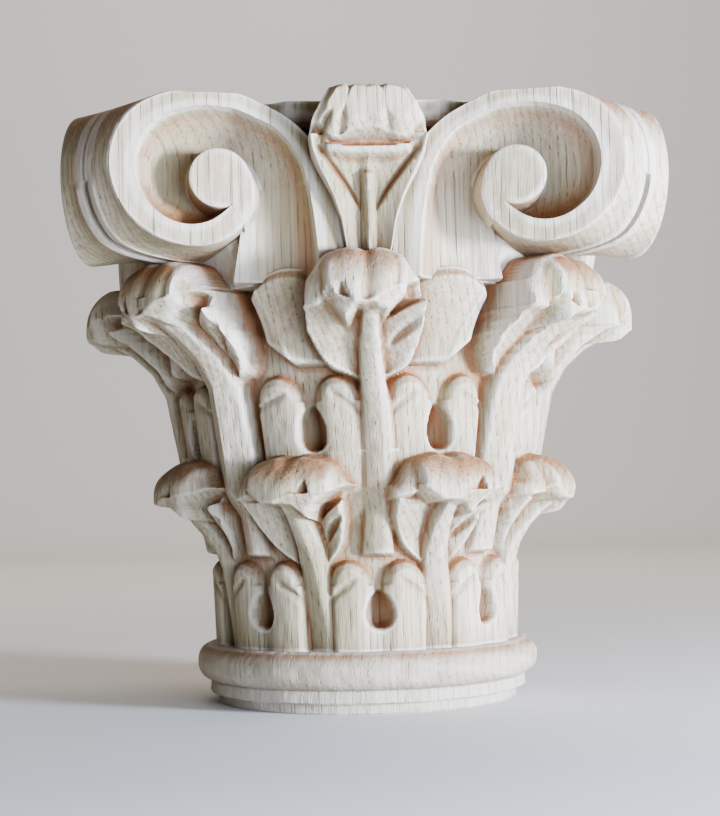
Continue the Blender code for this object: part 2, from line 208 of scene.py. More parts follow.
def turned(name, outline, steps):
    """Piece turned from an outline of (radius, height) points that starts and ends on the axis."""
    shape = bmesh.new()
    points = [shape.verts.new((radius, 0.0, height)) for radius, height in outline]
    edges = [shape.edges.new(pair) for pair in zip(points, points[1:])]
    bmesh.ops.spin(shape, geom=points + edges, axis=(0.0, 0.0, 1.0), cent=(0.0, 0.0, 0.0),
                   angle=2.0 * math.pi, steps=steps, use_merge=True)
    bmesh.ops.remove_doubles(shape, verts=shape.verts, dist=0.001)
    return new_piece(name, shape)


def bent_rod(name, around, lengths):
    """Capped rod, one unit long for each section, to be bent: returns the piece and each vertex's
    section number and place around it, both as whole numbers."""
    shape = bmesh.new()
    rim = bmesh.ops.create_circle(shape, cap_ends=False, segments=around, radius=1.0)["verts"]
    edges = list(shape.edges)
    bmesh.ops.spin(shape, geom=rim + edges, axis=(0.0, 0.0, 1.0), cent=(0.0, 0.0, 0.0),
                   dvec=(0.0, 0.0, 1.0), angle=0.0, steps=lengths)
    bmesh.ops.holes_fill(shape, edges=shape.edges, sides=around)
    piece = new_piece(name, shape)
    places = get_places(piece.data)
    section = np.rint(places[:, 2]).astype(int)
    place = np.rint(np.degrees(np.arctan2(places[:, 1], places[:, 0])) / 360.0 * around).astype(int) % around
    return piece, section, place


# Leaf tiers. Heights in a leaf are shares v of its height; places across it are shares u of the
# crown's half width, and u grows to the right of someone who looks at the leaf.

# line: height share and radius of the stem. waist: the same for the ground between the leaves.
# edge, star, slot: lower edges of the crown, of the star under it and of the dark slot beside the star.
LOWER = SimpleNamespace(
    foot=19.4, top=79.6, half_width=19.6, reach=72.6, crown_shift=0.0,
    line=((0.0, 47.4), (0.06, 47.8), (0.42, 50.2), (0.52, 52.2), (0.61, 55.8), (0.69, 60.6), (0.76, 66.5)),
    waist=((0.0, 45.6), (0.40, 46.6), (0.60, 48.6), (0.80, 51.5), (1.0, 54.0)),
    edge=((-1.0, 0.775), (-0.66, 0.79), (-0.60, 0.84), (-0.3, 0.765), (-0.12, 0.757), (0.05, 0.785),
          (0.18, 0.80), (0.33, 0.80), (0.72, 0.818), (1.0, 0.85)),
    star=((-0.64, 0.80), (-0.37, 0.75), (-0.12, 0.755), (0.1, 0.74), (0.24, 0.665), (0.42, 0.745),
          (0.76, 0.822)),
    slot=((0.2, 0.66), (0.45, 0.705), (0.8, 0.765), (1.0, 0.80)),
    dips=((-0.61, 2.4, 0.05), (0.21, 1.3, 0.12), (0.70, 1.4, 0.05)), top_dip=0.0,
    notch=0.34, notch_side=1.0,
    half_step=LEAF_STEP / 2.0, corner_step=0.0,
    pipe_top=0.452, pipe_half_width=6.9, eye_height=0.205, eye_half_height=5.8,
    stem=((0.0, 4.7), (0.45, 4.8), (0.6, 3.9), (0.72, 3.2)), ridge=((0.1, 3.0), (0.45, 0.6), (0.65, -0.8)),
    fan=((0.0, 0.0), (0.42, 3.6), (0.455, 6.4), (0.48, 8.8), (0.52, 11.4), (0.56, 13.2), (0.62, 15.2),
         (0.68, 16.8), (0.75, 18.4), (0.80, 19.2), (0.86, 19.6)),
    right_fan=0.86, gouge=0.527, facet=0.60)
UPPER = SimpleNamespace(
    foot=79.6, top=139.2, half_width=17.8, reach=93.0, crown_shift=-2.5,
    line=((0.0, 60.2), (0.36, 64.4), (0.5, 69.0), (0.6, 75.5), (0.68, 83.5), (0.74, 89.5)),
    waist=((0.0, 54.0), (0.36, 57.0), (0.6, 60.0), (0.8, 64.0), (1.0, 68.0)),
    edge=((-1.0, 0.70), (-0.66, 0.70), (-0.60, 0.76), (-0.52, 0.79), (-0.40, 0.745), (-0.15, 0.70),
          (0.0, 0.685), (0.2, 0.71), (0.45, 0.76), (0.75, 0.80), (1.0, 0.82)),
    star=((-0.64, 0.74), (-0.22, 0.62), (-0.06, 0.70), (0.15, 0.70), (0.39, 0.656), (0.81, 0.772)),
    slot=((0.39, 0.655), (0.7, 0.69), (1.0, 0.725), (1.2, 0.75)),
    dips=((-0.60, 1.8, 0.05), (0.08, 2.0, 0.10), (0.55, 1.2, 0.06)), top_dip=0.08,
    notch=-0.45, notch_side=-1.0,
    half_step=LEAF_STEP / 2.0, corner_step=3.2,
    pipe_top=0.40, pipe_half_width=7.9, eye_height=0.13, eye_half_height=7.0,
    stem=((0.0, 4.9), (0.36, 4.2), (0.6, 3.0), (0.7, 2.4)), ridge=((0.0, 1.6), (0.4, 1.4), (0.7, 0.8)),
    fan=((0.0, 0.0), (0.37, 3.6), (0.395, 7.5), (0.42, 12.5), (0.46, 14.8), (0.52, 17.0), (0.6, 19.5),
         (0.7, 20.5), (0.8, 20.0), (0.86, 19.5)),
    right_fan=0.86, gouge=0.50, facet=0.56)


def over(under, top, room):
    """Lay a higher surface over another one; room is how many millimetres a place lies in its outline."""
    return under + np.maximum(top - under, 0.0) * np.clip(0.5 + room / EDGE_DRAFT, 0.0, 1.0)


def leaf_stem(x, ridge, height_radius, corner):
    """Radius across a stem: a long facet on the left of the ridge and a steep one on the right; a sharp
    ridge between two even facets where corner is 1."""
    left = np.clip(ridge - x, 0.0, None)
    right = np.clip(x - ridge, 0.0, None)
    plain = (0.22 * left + 0.035 * left ** 2 + 0.38 * np.minimum(right, 1.5)
             + 0.85 * np.clip(right - 1.5, 0.0, None))
    sharp = 0.55 * left + 0.50 * right
    return height_radius - plain * (1.0 - corner) - sharp * corner


def leaf_surface(leaf, angle, height, number, ground, bare, corner):
    """Radius of one tier at angles from a leaf's middle line, in degrees."""
    rise = leaf.top - leaf.foot
    slip = hand_offset(number, leaf.foot)
    second_slip = hand_offset(number + 3.0, leaf.foot)
    v = (height - leaf.foot) / rise
    extra_reach = 3.0 * corner * blend(0.3, 0.75, v)
    middle_reach = leaf.reach + extra_reach
    line_radius = along(leaf.line, v) + extra_reach
    half_step = np.radians(leaf.half_step + leaf.corner_step * (2.0 * corner - 1.0))
    measure_radius = np.minimum(line_radius, 0.93 * leaf.reach)
    x = np.radians(angle) * measure_radius + 0.6 * slip * blend(0.2, 0.8, v)
    across = np.abs(x)
    half_width = leaf.half_width * (1.0 + 0.02 * second_slip)
    u = (x - leaf.crown_shift * blend(0.45, 0.65, v)) / half_width
    right = x > 0.0

    # Rounded pipes low beside the stem, each with a crescent cut
    pipe_middle = half_step * leaf.line[0][1] - leaf.pipe_half_width - 0.6
    pipe_across = (across - pipe_middle) / leaf.pipe_half_width
    head = np.clip((v - leaf.pipe_top) * rise / leaf.pipe_half_width + 1.0, 0.0, 2.0)
    head_reach = np.sqrt(pipe_across ** 2 + head ** 2)
    rim = np.where(head > 0.0, head_reach, np.abs(pipe_across) * 0.8)
    pipe = ground + 5.2 - 0.8 * pipe_across ** 2 - 0.9 * blend(0.3, 1.0, pipe_across)
    pipe = pipe - 2.4 * np.clip((rim - 0.60) / 0.40, 0.0, 1.0) ** 1.2
    crescent_v = leaf.pipe_top - 0.20 + 0.14 * np.clip(across / pipe_middle - 0.40, 0.0, 1.0) ** 0.7
    from_cut = (crescent_v - v) * rise
    crescent = 1.1 * np.clip(1.0 - from_cut / 2.4, 0.0, 1.0) * blend(-0.7, 0.0, from_cut)
    crescent = crescent * blend(0.32, 0.46, across / pipe_middle) * blend(1.25, 1.0, across / pipe_middle)
    radius = over(bare, pipe - crescent, (1.0 - np.where(head > 0.0, head_reach, np.abs(pipe_across)))
                  * leaf.pipe_half_width)

    # Side leaflets: a hollow fan between the stem and an outer rim
    half_stem = softly_along(leaf.stem, v, 0.03) * (1.0 + 0.75 * corner)
    fan_edge = softly_along(leaf.fan, v, 0.012) * half_width / leaf.half_width
    fan_edge = np.where(right, fan_edge * leaf.right_fan, fan_edge)
    q = np.clip((across - half_stem) / np.maximum(fan_edge - half_stem, 0.5), 0.0, 1.0)
    rim_radius = np.maximum(ground + 4.2, line_radius + 0.3 - 2.6 * blend(0.6, 0.8, v))
    root_radius = np.maximum(ground + 0.6, line_radius - 5.2)
    trough = root_radius + (rim_radius - root_radius) * q ** 0.8
    climb = v - 0.17 * q
    left_fan = trough - 0.25 * rise * np.clip(climb - leaf.facet, 0.0, 0.12)
    gouge = np.clip(1.0 - ((climb - leaf.gouge) / 0.036) ** 2 - ((q - 0.60) / 0.38) ** 2, 0.0, 1.0)
    right_fan = trough - 3.2 * gouge ** 0.7 - 0.35 * rise * np.clip(climb - leaf.gouge - 0.04, 0.0, 0.10)
    fan = np.where(right, right_fan, left_fan) - 1.0 * blend(0.9, 1.0, q)
    slot_start = leaf.slot[0][0]
    slot = blend(-0.012, 0.012, v - along(leaf.slot, u)) * blend(slot_start - 0.03, slot_start + 0.03, u)
    fan = fan - np.minimum(5.5, fan - ground - 1.0) * slot
    edge = along(leaf.edge, u) + 0.012 * slip * np.cos(2.0 * u)
    inside = np.minimum(fan_edge - across, (edge - v) * rise + 0.6)
    radius = over(radius, fan, np.minimum(inside, (v - leaf.pipe_top + 0.05) * rise))

    # Stem
    ridge = along(leaf.ridge, v) * (1.0 - corner)
    stem = leaf_stem(x, ridge, line_radius + 1.7 + 1.6 * corner, corner)
    radius = over(radius, stem, np.minimum(half_stem - across, (0.80 - v) * rise))

    # Underside of the tip: a star with one point either side of the stem
    tip = middle_reach - 4.6 * u ** 2 - 2.6 * blend(-0.57, -0.65, u) - 4.2 * blend(0.68, 0.78, u)
    star = tip - 0.5 - 0.80 * (edge - v) * rise - 1.0 * hump(u, leaf.notch, 0.05) * blend(0.0, 0.1, edge - v)
    star_inside = np.minimum((v - along(leaf.star, u)) * rise * 0.8, (0.74 - np.abs(u)) * half_width)
    radius = over(radius, star, np.minimum(star_inside, (edge - v) * rise + 0.6))

    # Crown: rounded lobes over a zigzag edge
    crown_top = (1.0 - 0.085 * u ** 2 - 0.07 * blend(0.66, 1.0, np.abs(u))
                 - 0.022 * hump(u, leaf.top_dip, 0.13))
    tau = np.clip((v - edge) / np.maximum(crown_top - edge, 0.01), 0.0, 1.0)
    lobes = sum(deep * hump(u, middle, width) for middle, deep, width in leaf.dips)
    top_radius = middle_reach - 10.5 - 2.5 * u ** 2
    crown = top_radius + (tip - top_radius) * (1.0 - tau ** 2.3) ** 0.7
    crown = crown - lobes * (1.0 - 0.8 * tau) * blend(0.0, 0.16, tau + 0.04)
    # V notch cut with one slope to the left and a steep one to the right
    notch_up = np.clip(1.0 - (v - edge) * rise / 4.6, 0.0, 1.0)
    from_notch = (x - leaf.notch * half_width) * leaf.notch_side
    notch = np.where(from_notch < 0.0, 1.0 + from_notch / np.maximum(3.4 * notch_up, 0.05),
                     1.0 - from_notch / np.maximum(1.3 * notch_up, 0.05))
    crown = crown - 4.2 * notch_up ** 0.5 * np.clip(notch, 0.0, 1.0) * (notch_up > 0.0)
    crown_inside = np.minimum((v - edge) * rise + 0.35, (crown_top - v) * rise)
    radius = over(radius, crown, np.minimum(crown_inside, (1.0 - np.abs(u)) * half_width))

    # Drop-shaped holes between the pipes of two neighbours, on the line between them
    from_line = (half_step - np.abs(np.radians(angle))) * ground
    rise_from_eye = (v - leaf.eye_height) * rise / leaf.eye_half_height
    eye_width = 3.9 * np.sqrt(np.clip(1.0 - rise_from_eye ** 2, 0.0, 1.0)) * (1.0 - 0.22 * rise_from_eye)
    depth_in = np.clip(1.0 - from_line / np.maximum(eye_width, 0.3), 0.0, 1.0) * (eye_width > 0.3)
    bowl = ground + 2.4 - 7.0 * depth_in ** 0.6
    below_eye = blend(leaf.eye_height + 0.02, leaf.eye_height - 0.03, v)
    fill = ground + 4.0 - 0.5 * hump(from_line, 0.0, 1.2)
    fill_room = (5.0 - from_line) * below_eye * (v < leaf.eye_height) - 0.5
    radius = over(radius, np.maximum(radius, fill), fill_room)
    return np.where(depth_in > 0.0, np.minimum(radius, bowl), radius)


def calyx_surface(angle, height, face_number):
    """Radius of the two leaning calyx leaves of each face, and the millimetres inside their outline."""
    slip = hand_offset(face_number * 2.0 + (angle > 0.0), 5.0)
    v = (height - 107.0) / 27.0
    side = np.abs(angle) + 0.4 * slip
    ridge = 21.3 + 7.3 * v
    outer = 28.2 + 2.6 * np.clip(v, 0.0, 1.0) ** 2
    inner = 8.0
    lean = 67.0 + 14.5 * np.clip(v, -0.1, 1.1) ** 2 * np.sign(v) + 2.0 * v
    hollow = np.clip((ridge - side) / (ridge - inner), 0.0, 1.0)
    slope = np.clip((side - ridge) / np.maximum(outer - ridge, 0.5), 0.0, 1.0)
    cupped = 0.8 * (hollow > 0.0) * blend(0.0, 0.05, hollow) + 7.5 * hollow ** 1.4
    radius = lean - np.where(side < ridge, cupped, 1.6 * slope)
    peak_side = 19.0
    outer_fall = 6.5 * np.clip((side - peak_side) / 11.0, 0.0, 1.2) ** 2
    inner_fall = 3.0 * np.clip((peak_side - side) / 10.0, 0.0, 1.2) ** 2
    top = 134.8 - outer_fall - inner_fall
    radius = radius - 5.5 * blend(top - 4.6, top, height)
    inside = np.minimum((outer - side) * 1.25, top - height)
    foot = 106.5 + 0.9 * np.abs(side - 21.0) * (side > 21.0)
    return radius, np.minimum(np.minimum(inside, (side - inner) * 1.25), height - foot)


def ground_radius(height):
    """Radius of the bell between the leaves."""
    line = tuple((LOWER.foot + (LOWER.top - LOWER.foot) * v, radius) for v, radius in LOWER.waist)
    line += tuple((UPPER.foot + (UPPER.top - UPPER.foot) * v, radius) for v, radius in UPPER.waist[1:])
    return along(line, height)


def leaned(angle, degrees):
    """Angle from the nearest face's middle, with the leaf there leaning over by some degrees."""
    to_face = turn_to_nearest(angle, 0.0, FACE_STEP)
    return to_face - degrees * blend(42.0, 20.0, np.abs(to_face))


def bell_surface(angle, height, tier):
    """Radius of the carved bell in one tier, with the trunks of the upper leaves between the lower ones."""
    if tier is UPPER:
        low = np.maximum(height, UPPER.foot)
        to_face = leaned(angle, UPPER_LEAN * blend(118.0, 80.0, low))
        corner = (np.abs(to_face) > UPPER.half_step - UPPER.corner_step).astype(float)
        to_upper = np.where(corner > 0.5, turn_to_nearest(to_face, LEAF_STEP, FACE_STEP), to_face)
        number = np.rint((angle - to_upper) / LEAF_STEP) % LEAF_COUNT
        radius = leaf_surface(UPPER, to_upper, low, number, ground_radius(low), ground_radius(low), corner)
        to_face = turn_to_nearest(angle, 0.0, FACE_STEP)
        face_number = np.rint((angle - to_face) / FACE_STEP) % FACE_COUNT
        calyx, room = calyx_surface(to_face, low, face_number)
        # Below its foot the tier slopes inwards, behind the lower tier
        return over(radius, calyx, room) - SEAM_DRAFT * (low - height) - SEAM_CURVE * (low - height) ** 2
    # Behind the lower crowns the pipes of the upper leaves run down into the bell
    below = np.clip(UPPER.foot - height, 0.0, None)
    behind = bell_surface(angle, np.maximum(height, UPPER.foot), UPPER) - SEAM_DRAFT * below
    ground = ground_radius(height)
    ground = ground + (np.maximum(behind, ground) - ground) * blend(56.0, 70.0, height)
    to_upper = turn_to_nearest(leaned(angle, UPPER_LEAN), 0.0, LEAF_STEP)
    straight = angle - LOWER_LEAN * blend(68.0, 30.0, height)
    to_lower = turn_to_nearest(straight, LEAF_STEP / 2.0, LEAF_STEP)
    number = np.rint((straight - LEAF_STEP / 2.0 - to_lower) / LEAF_STEP) % LEAF_COUNT
    trunk_x = np.radians(to_upper) * 57.0
    trunk_half = along(((47.0, 6.2), (54.0, 5.2), (64.0, 4.3), (79.0, 5.2)), height)
    trunk_radius = along(((47.0, 52.6), (54.0, 54.2), (62.0, 56.0), (70.0, 58.6), (80.0, 61.8)), height)
    trunk = leaf_stem(trunk_x, 1.6, trunk_radius, 0.0)
    bare = over(ground, trunk, np.minimum(trunk_half - np.abs(trunk_x), height - 48.5))
    radius = leaf_surface(LOWER, to_lower, height, number, ground, bare, 0.0)
    return radius - SEAM_CURVE * np.clip(height - UPPER.foot, 0.0, None) ** 2


def carve_tier(name, tier, low, high, rows):
    """One tier of leaves, turned as a plain drum and then carved in from it."""
    core = NECK_RADIUS * 0.6
    crown_foot = tier.foot + (tier.top - tier.foot) * 0.70
    few = rows * 5 // 9
    heights = list(np.linspace(low, crown_foot, few, endpoint=False))
    heights += list(np.linspace(crown_foot, high, rows - few))
    outline = [(0.0, low), (core, low)]
    outline += [(NECK_RADIUS, height) for height in heights]
    outline += [(core, high), (0.0, high)]
    piece = turned(name, outline, TIER_COLUMNS)
    places = get_places(piece.data)
    radius = np.hypot(places[:, 0], places[:, 1])
    skin = radius > core + 1.0
    angle = (np.degrees(np.arctan2(places[:, 1], places[:, 0])) + 90.0) % 360.0
    carved = bell_surface(angle[skin], places[skin, 2], tier)
    scale = carved / radius[skin]
    places[skin, 0] *= scale
    places[skin, 1] *= scale
    set_places(piece.data, rubbed_smooth(piece.data, places, 1))
    return piece


def lower_leaves():
    """The eight lower leaves."""
    return carve_tier("lower_leaves", LOWER, BASE_TOP - 1.5, LOWER.top + 1.5, LOWER_ROWS)


def upper_leaves():
    """The eight upper leaves with the calyx leaves between them."""
    return carve_tier("upper_leaves", UPPER, UPPER.foot - 4.0, UPPER.top + 2.0, UPPER_ROWS)


def turned_ring():
    """The foot: two stepped fillets and a torus."""
    swell = (BASE_TOP - HIGH_FILLET[1]) / 2.0
    middle = HIGH_FILLET[1] + swell
    soft = 0.5
    outline = [(0.0, 0.0), (LOW_FILLET[0] - soft, 0.0), (LOW_FILLET[0], soft)]
    outline += [(LOW_FILLET[0], LOW_FILLET[1] - 0.2), (HIGH_FILLET[0] - soft, LOW_FILLET[1]),
                (HIGH_FILLET[0], LOW_FILLET[1] + soft)]
    outline += [(HIGH_FILLET[0], HIGH_FILLET[1] - soft), (HIGH_FILLET[0] - 0.3, HIGH_FILLET[1])]
    for step in range(25):
        turn = math.radians(-78.0 + 156.0 * step / 24.0)
        outline.append((TORUS_RADIUS - swell + swell * math.cos(turn), middle + swell * math.sin(turn)))
    outline += [(NECK_RADIUS + 1.0, BASE_TOP - 0.3), (NECK_RADIUS - 4.0, BASE_TOP + 2.0),
                (0.0, BASE_TOP + 2.0)]
    piece = turned("turned_ring", outline, FOOT_STEPS)
    places = get_places(piece.data)
    angle = np.arctan2(places[:, 1], places[:, 0])
    height = places[:, 2]
    worn = (0.20 * np.sin(5.0 * angle + 1.0) + 0.13 * np.sin(11.0 * angle + height)
            + 0.1 * np.sin(23.0 * angle))
    radius = np.hypot(places[:, 0], places[:, 1])
    shift = np.where((radius > NECK_RADIUS) & (height > 0.6), worn, 0.0)
    for axis in range(2):
        places[:, axis] *= 1.0 + shift / np.maximum(radius, 1.0)
    set_places(piece.data, places)
    return piece


# A volute's edges around its eye: angle in degrees from the side of the fleuron, distance from the eye
OUTER_EDGE = ((-60.0, 33.4), (0.0, 33.2), (30.0, 28.4), (60.0, 25.3), (90.0, 26.0), (112.0, 27.5),
              (145.0, 31.9), (171.0, 31.8), (200.0, 28.8), (245.0, 22.0), (285.0, 16.4), (320.0, 12.4),
              (349.0, 9.8), (380.0, COIL_RADIUS), (720.0, COIL_RADIUS))
INNER_EDGE = ((-60.0, 25.4), (0.0, 25.2), (34.0, 22.6), (84.0, 20.6), (111.0, 21.9), (141.0, 24.6),
              (163.0, 24.9), (194.0, 22.7), (230.0, 17.6), (254.0, 13.4), (276.0, 9.8), (300.0, 8.0))
BAND_START = 0.0
BAND_END = 296.0
BAND_SECTIONS = 150
STALK_SECTIONS = 30
BAND_POINTS = 44


def face_depth(across):
    """Distance from the axis to the volutes' flat face."""
    return FACE_DEPTH_AT_MIDDLE + (CORNER_REACH - FACE_DEPTH_AT_MIDDLE) * (across / CORNER_X)


def band_section(section):
    """Places of a band section's outer edge, inner edge and channel end, each (across, height)."""
    if section < STALK_SECTIONS:
        share = section / STALK_SECTIONS
        height = ABACUS_FOOT + 0.5 + (EYE_HEIGHT - ABACUS_FOOT - 0.5) * share
        outer = STALK_OUTER_X + 3.2 * share ** 1.8
        inner = STALK_INNER_X + 3.0 * share ** 1.8
        floor = FLOOR_END_AT_FOOT + (EYE_FROM_MIDDLE - COIL_RADIUS + 1.0 - FLOOR_END_AT_FOOT) * share
        return (outer, height), (inner, height), (floor, height)
    share = (section - STALK_SECTIONS) / (BAND_SECTIONS - STALK_SECTIONS)
    angle = BAND_START + (BAND_END - BAND_START) * share
    turn = math.radians(angle)
    outer = float(softly_along(OUTER_EDGE, angle, 9.0))
    inner = min(float(softly_along(INNER_EDGE, angle, 9.0)), outer - 4.8)
    coil = float(softly_along(OUTER_EDGE, angle + 360.0, 9.0)) - 0.8
    places = []
    for reach in (outer, inner, min(coil, inner - 0.4)):
        places.append((EYE_FROM_MIDDLE - reach * math.cos(turn), EYE_HEIGHT + reach * math.sin(turn)))
    return tuple(places)


def rim_points(outer):
    """Points of the rim from the corner's diagonal to the face's edge, with the slit cut into them."""
    depth = face_depth(outer[0])
    splay = float(blend(EYE_FROM_MIDDLE + 4.0, CORNER_X - 8.0, outer[0]))
    to_eye = math.hypot(outer[0] - EYE_FROM_MIDDLE, outer[1] - EYE_HEIGHT)
    out_x, out_z = (outer[0] - EYE_FROM_MIDDLE) / to_eye, (outer[1] - EYE_HEIGHT) / to_eye
    cut = float(blend(SLIT_TOP + 0.4, SLIT_TOP - 0.8, outer[1]) * blend(46.0, 54.0, outer[0]))
    below = float(blend(EYE_HEIGHT + 4.0, EYE_HEIGHT - 10.0, outer[1]) * blend(20.0, 40.0, outer[0]))
    whole = (depth - outer[0]) / math.sqrt(2.0)
    marks = [(-CORNER_OVERLAP, -SLIT_DEPTH), (0.8, -SLIT_DEPTH + 0.5), (1.4, 0.3), (1.8, 0.6),
             (3.9, 0.6), (LIP_END, 0.0)]
    marks += [(LIP_END + (whole - LIP_END) * step / 9.0, 0.0) for step in range(1, 9)]
    marks += [(whole - 0.5, 0.0), (whole, 0.0)]
    points = []
    for distance, lift in marks:
        share = max(0.0, min(1.0, (distance - LIP_END) / (whole - LIP_END)))
        back = (whole - distance) * math.sqrt(2.0) / (1.0 + splay)
        lift = lift * cut - 1.3 * below * math.sin(math.pi * share) - 0.35 * (share > 0.999)
        points.append((outer[0] + splay * back + lift * out_x * 0.75, outer[1] + lift * out_z,
                       depth - back + lift * out_x * 0.6 * splay))
    return points


def band_loop(section):
    """Points around the band at a section, from the rim's back over the face into the channel."""
    outer, inner, floor = band_section(section)
    loop = rim_points(outer)
    flat_points = 7
    for step in range(flat_points):
        share = 0.05 + 0.95 * step / (flat_points - 1)
        across = outer[0] + (inner[0] - outer[0]) * share
        height = outer[1] + (inner[1] - outer[1]) * share
        loop.append((across, height, face_depth(across)))
    hollow_points = BAND_POINTS - len(loop) - 2
    room = math.hypot(floor[0] - inner[0], floor[1] - inner[1])
    deep = min(CHANNEL_DEPTH, 2.0 * room)
    for step in range(hollow_points):
        share = (step + 1) / hollow_points
        across = inner[0] + (floor[0] - inner[0]) * share
        height = inner[1] + (floor[1] - inner[1]) * share
        bowl = deep * math.sqrt(1.0 - (1.0 - share) ** 2.2)
        face = face_depth(inner[0]) * (1.0 - share) + face_depth(floor[0]) * share
        loop.append((across, height, face - bowl))
    middle_back = max(floor[0] - 6.0, 4.0)
    loop.append((floor[0], floor[1], min(WALL_DEPTH - 16.0, middle_back + 8.0)))
    loop.append((outer[0] * 0.5 + floor[0] * 0.5, outer[1] * 0.5 + floor[1] * 0.5,
                 min(WALL_DEPTH - 16.0, middle_back)))
    return [(-across, -reach, min(height, TOTAL_HEIGHT - 0.2)) for across, height, reach in loop]


def volute_band():
    """The band of one volute: stalk, round over the top and down into the coil."""
    piece, section, place = bent_rod("band", BAND_POINTS, BAND_SECTIONS)
    loops = np.array([band_loop(number) for number in range(BAND_SECTIONS + 1)])
    set_places(piece.data, loops[section, place])
    return piece


def volute_coil():
    """The drum with the eye, level with the band."""
    rings, around = 9, 96
    outline = [(0.0, -30.0), (1.0, -30.0)] + [(1.0, -30.0 * (1.0 - step / 24.0)) for step in range(25)]
    outline += [(1.0 - step / rings, 0.0) for step in range(1, rings + 1)]
    piece = turned("coil", outline, around)
    places = get_places(piece.data)
    angle = np.degrees(np.arctan2(places[:, 1], places[:, 0])) % 360.0
    angle = np.where(angle < BAND_END, angle + 360.0, angle)
    share = np.hypot(places[:, 0], places[:, 1])
    reach = softly_along(OUTER_EDGE, angle, 9.0) * share
    spiral = np.radians(angle)
    across = EYE_FROM_MIDDLE - reach * np.cos(spiral)
    height = EYE_HEIGHT + reach * np.sin(spiral)
    flare = 1.0 + 0.012 * np.clip(-places[:, 2], 0.0, 14.0) * blend(300.0, 350.0, angle)
    across = EYE_FROM_MIDDLE + (across - EYE_FROM_MIDDLE) * flare
    height = EYE_HEIGHT + (height - EYE_HEIGHT) * flare
    depth = face_depth(across) + 0.1 - 0.4 * blend(0.9, 1.0, share) * (places[:, 2] > -0.5) + places[:, 2]
    set_places(piece.data, np.column_stack((-across, -depth, height)))
    return piece


def repeat_round(name, makers, count, mirrored):
    """One piece that holds copies of the made shapes, turned round the axis and mirrored in pairs."""
    shape = bmesh.new()
    for maker in makers:
        source = maker()
        for quarter in range(count):
            for flip in ((1.0, -1.0) if mirrored else (1.0,)):
                first = len(shape.verts)
                shape.from_mesh(source.data)
                shape.verts.ensure_lookup_table()
                fresh = shape.verts[first:]
                bmesh.ops.scale(shape, vec=(flip, 1.0, 1.0), verts=fresh)
                faces = {face for vert in fresh for face in vert.link_faces}
                if flip < 0.0:
                    bmesh.ops.reverse_faces(shape, faces=list(faces))
                turn = math.radians(360.0 / count * quarter)
                for vert in fresh:
                    x, y = vert.co.x, vert.co.y
                    vert.co.x = x * math.cos(turn) - y * math.sin(turn)
                    vert.co.y = x * math.sin(turn) + y * math.cos(turn)
        bpy.data.objects.remove(source)
    return new_piece(name, shape)


def volutes():
    """Eight volutes, a pair at each corner."""
    return repeat_round("volutes", (volute_band, volute_coil), FACE_COUNT, True)


